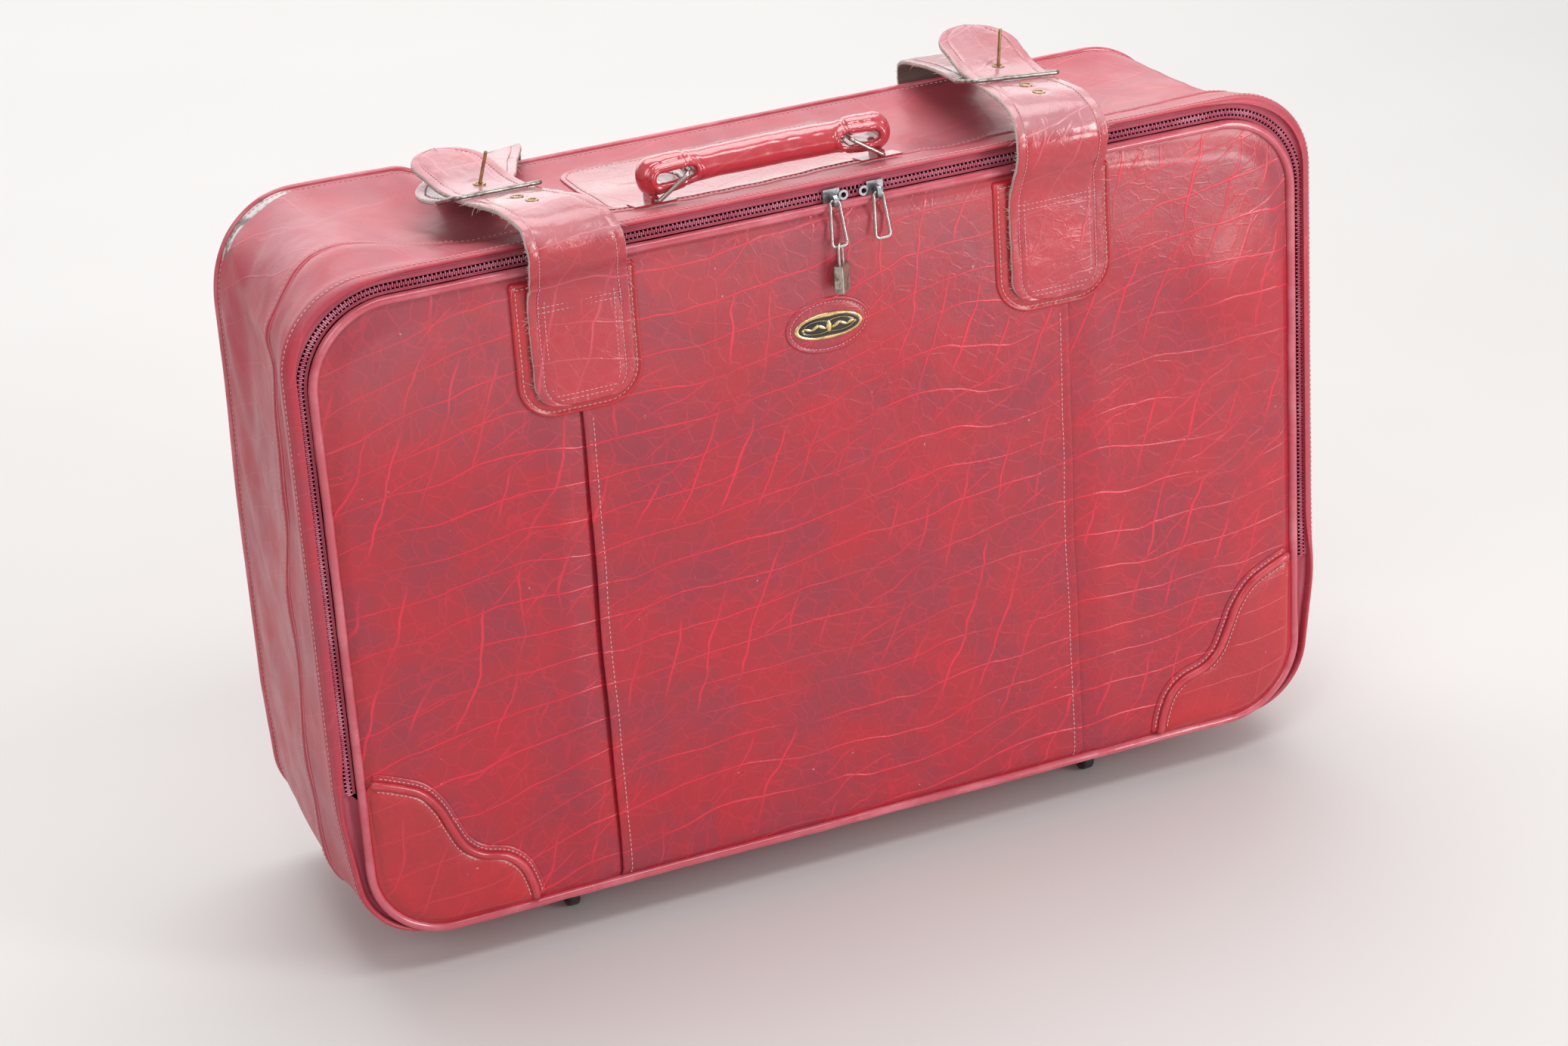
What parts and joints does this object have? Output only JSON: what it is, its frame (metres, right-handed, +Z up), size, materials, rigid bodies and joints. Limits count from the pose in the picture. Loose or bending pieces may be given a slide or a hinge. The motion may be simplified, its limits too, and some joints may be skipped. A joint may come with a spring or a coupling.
{
  "type": "suitcase",
  "caption": "Soft-sided zip suitcase in marbled burgundy vinyl with two buckled straps, a stuffed carry handle on wire bails, twin zip sliders, a small padlock and swivel castors.",
  "frame": {"origin": "on the floor under the middle of the case's bounding box, where the castors stand", "axes": "+X to the right along the case's width, the lid faces -Y, +Z up"},
  "size_m": [0.7592, 0.2586, 0.576],
  "materials": {
    "vinyl": "glossy crackle-printed burgundy vinyl",
    "corner_vinyl": "glossy red vinyl",
    "piping": "smooth satin vinyl bead",
    "handle_vinyl": "glossy stuffed vinyl",
    "zip_tape": "woven zip tape",
    "zip_teeth": "nylon coil",
    "fibreboard": "pressed fibreboard",
    "lining": "taffeta lining",
    "webbing": "woven webbing",
    "clasp_plastic": "moulded plastic",
    "spring_steel": "plain spring steel",
    "steel_wire": "worn nickel-plated wire",
    "gunmetal": "worn gunmetal plate",
    "brass": "tarnished brass",
    "padlock_steel": "weathered steel",
    "badge_metal": "gilt rim with a black enamel centre",
    "castor_steel": "zinc-plated pressed steel",
    "castor_rubber": "hard black rubber"
  },
  "bodies": {
    "case": {"gusset_front_band": "vinyl", "gusset_back_band": "vinyl", "gusset_mid_welt": "piping", "front_edge_binding": "piping", "back_panel": "vinyl", "back_piping": "piping", "zip_tape_case": "zip_tape", "zip_teeth_case": "zip_teeth", "frame_hoops": "spring_steel", "base_board": "fibreboard", "back_board": "fibreboard", "gusset_lining": "lining", "back_lining": "lining", "packing_straps": "webbing", "packing_clasps": "clasp_plastic", "handle_patch": "vinyl", "handle_anchors": "vinyl", "castor_plates": "castor_steel", "rear_strap_left": "vinyl", "rear_strap_right": "vinyl"},
    "lid": {"front_panel_left": "vinyl", "front_panel_centre": "vinyl", "front_panel_right": "vinyl", "lid_board": "fibreboard", "lid_lining": "lining", "lid_pocket": "lining", "lid_piping": "piping", "zip_tape_lid": "zip_tape", "zip_teeth_lid": "zip_teeth", "corner_patches": "corner_vinyl", "corner_welts": "piping", "strap_underlays": "vinyl", "badge_patch": "vinyl", "badge_plate": "badge_metal", "front_strap_left": "vinyl", "front_strap_right": "vinyl", "strap_eyelets_left": "brass", "strap_eyelets_right": "brass"},
    "padlock_hoop": {"padlock_shackle": "steel_wire"},
    "padlock": {"padlock_body": "padlock_steel"},
    "handle": {"handle_grip": "handle_vinyl", "handle_core": "spring_steel"},
    "slider_left": {"zip_slider_left": "gunmetal"},
    "puller_left": {"zip_puller_left": "steel_wire"},
    "buckle_left": {"buckle_frame_left": "steel_wire"},
    "prong_left": {"buckle_prong_left": "brass"},
    "bail_left": {"handle_bail_left": "steel_wire"},
    "slider_right": {"zip_slider_right": "gunmetal"},
    "puller_right": {"zip_puller_right": "steel_wire"},
    "buckle_right": {"buckle_frame_right": "steel_wire"},
    "prong_right": {"buckle_prong_right": "brass"},
    "bail_right": {"handle_bail_right": "steel_wire"},
    "fork_front_left": {"castor_fork_front_left": "castor_steel"},
    "wheel_front_left": {"castor_wheel_front_left": "castor_rubber"},
    "fork_front_right": {"castor_fork_front_right": "castor_steel"},
    "wheel_front_right": {"castor_wheel_front_right": "castor_rubber"},
    "fork_back_left": {"castor_fork_back_left": "castor_steel"},
    "wheel_back_left": {"castor_wheel_back_left": "castor_rubber"},
    "fork_back_right": {"castor_fork_back_right": "castor_steel"},
    "wheel_back_right": {"castor_wheel_back_right": "castor_rubber"}
  },
  "joints": [
    {"name": "lid_open", "type": "hinge", "parent": "case", "child": "lid", "pos_m": [0, -0.10571, 0.036], "axis": [1, 0, 0], "range_deg": [0, 92], "deforming": ["front_strap_left", "front_strap_right", "strap_eyelets_left", "strap_eyelets_right", "zip_tape_case", "zip_teeth_case"]},
    {"name": "slider_left_run", "type": "slide", "parent": "lid", "child": "slider_left", "axis": [1, 0, 0], "range_m": [-0.118, 0.006]},
    {"name": "slider_right_run", "type": "slide", "parent": "lid", "child": "slider_right", "axis": [1, 0, 0], "range_m": [0, 0.07]},
    {"name": "puller_left_swing", "type": "hinge", "parent": "slider_left", "child": "puller_left", "pos_m": [0.01, -0.11051, 0.5078], "axis": [-1, 0, 0], "range_deg": [0, 120]},
    {"name": "puller_right_swing", "type": "hinge", "parent": "slider_right", "child": "puller_right", "pos_m": [0.042, -0.11051, 0.5078], "axis": [-1, 0, 0], "range_deg": [0, 120]},
    {"name": "padlock_swing", "type": "hinge", "parent": "puller_left", "child": "padlock_hoop", "pos_m": [0.01, -0.11598, 0.47678], "axis": [-1, 0, 0], "range_deg": [0, 45]},
    {"name": "padlock_release", "type": "slide", "parent": "padlock_hoop", "child": "padlock", "axis": [0, 0, -1], "range_m": [0, 0.005]},
    {"name": "buckle_left_tilt", "type": "hinge", "parent": "case", "child": "buckle_left", "pos_m": [-0.209, -0.01871, 0.5275], "axis": [-0.9744, -0.2071, 0.0872], "range_deg": [0, 40]},
    {"name": "prong_left_tilt", "type": "hinge", "parent": "case", "child": "prong_left", "pos_m": [-0.209, -0.01871, 0.5275], "axis": [0.9744, 0.2071, -0.0872], "range_deg": [0, 38]},
    {"name": "buckle_right_tilt", "type": "hinge", "parent": "case", "child": "buckle_right", "pos_m": [0.172, -0.02971, 0.541], "axis": [-0.9962, 0, 0.0872], "range_deg": [0, 60]},
    {"name": "prong_right_tilt", "type": "hinge", "parent": "case", "child": "prong_right", "pos_m": [0.172, -0.02971, 0.541], "axis": [0.9962, 0, -0.0872], "range_deg": [0, 60]},
    {"name": "handle_lift", "type": "slide", "parent": "case", "child": "handle", "axis": [0, 0, 1], "range_m": [0, 0.008]},
    {"name": "bail_left_lean", "type": "hinge", "parent": "case", "child": "bail_left", "pos_m": [-0.101, -0.05871, 0.5172], "axis": [0, -1, 0], "range_deg": [0, 24.16]},
    {"name": "bail_right_lean", "type": "hinge", "parent": "case", "child": "bail_right", "pos_m": [0.065, -0.05871, 0.5172], "axis": [0, 1, 0], "range_deg": [0, 24.16]},
    {"name": "swivel_front_left", "type": "hinge", "parent": "case", "child": "fork_front_left", "pos_m": [-0.205, -0.06771, 0], "axis": [0, 0, 1], "continuous": true},
    {"name": "spin_front_left", "type": "hinge", "parent": "fork_front_left", "child": "wheel_front_left", "pos_m": [-0.205, -0.05971, 0.012], "axis": [1, 0, 0], "continuous": true},
    {"name": "swivel_front_right", "type": "hinge", "parent": "case", "child": "fork_front_right", "pos_m": [0.205, -0.06771, 0], "axis": [0, 0, 1], "continuous": true},
    {"name": "spin_front_right", "type": "hinge", "parent": "fork_front_right", "child": "wheel_front_right", "pos_m": [0.205, -0.05971, 0.012], "axis": [1, 0, 0], "continuous": true},
    {"name": "swivel_back_left", "type": "hinge", "parent": "case", "child": "fork_back_left", "pos_m": [-0.205, 0.06729, 0], "axis": [0, 0, 1], "continuous": true},
    {"name": "spin_back_left", "type": "hinge", "parent": "fork_back_left", "child": "wheel_back_left", "pos_m": [-0.205, 0.07529, 0.012], "axis": [1, 0, 0], "continuous": true},
    {"name": "swivel_back_right", "type": "hinge", "parent": "case", "child": "fork_back_right", "pos_m": [0.205, 0.06729, 0], "axis": [0, 0, 1], "continuous": true},
    {"name": "spin_back_right", "type": "hinge", "parent": "fork_back_right", "child": "wheel_back_right", "pos_m": [0.205, 0.07529, 0.012], "axis": [1, 0, 0], "continuous": true}
  ],
  "couplings": [
    {"joint": "bail_left_lean", "follows": "handle_lift", "rad_per_m": 51.622},
    {"joint": "bail_right_lean", "follows": "handle_lift", "rad_per_m": 51.622}
  ]
}
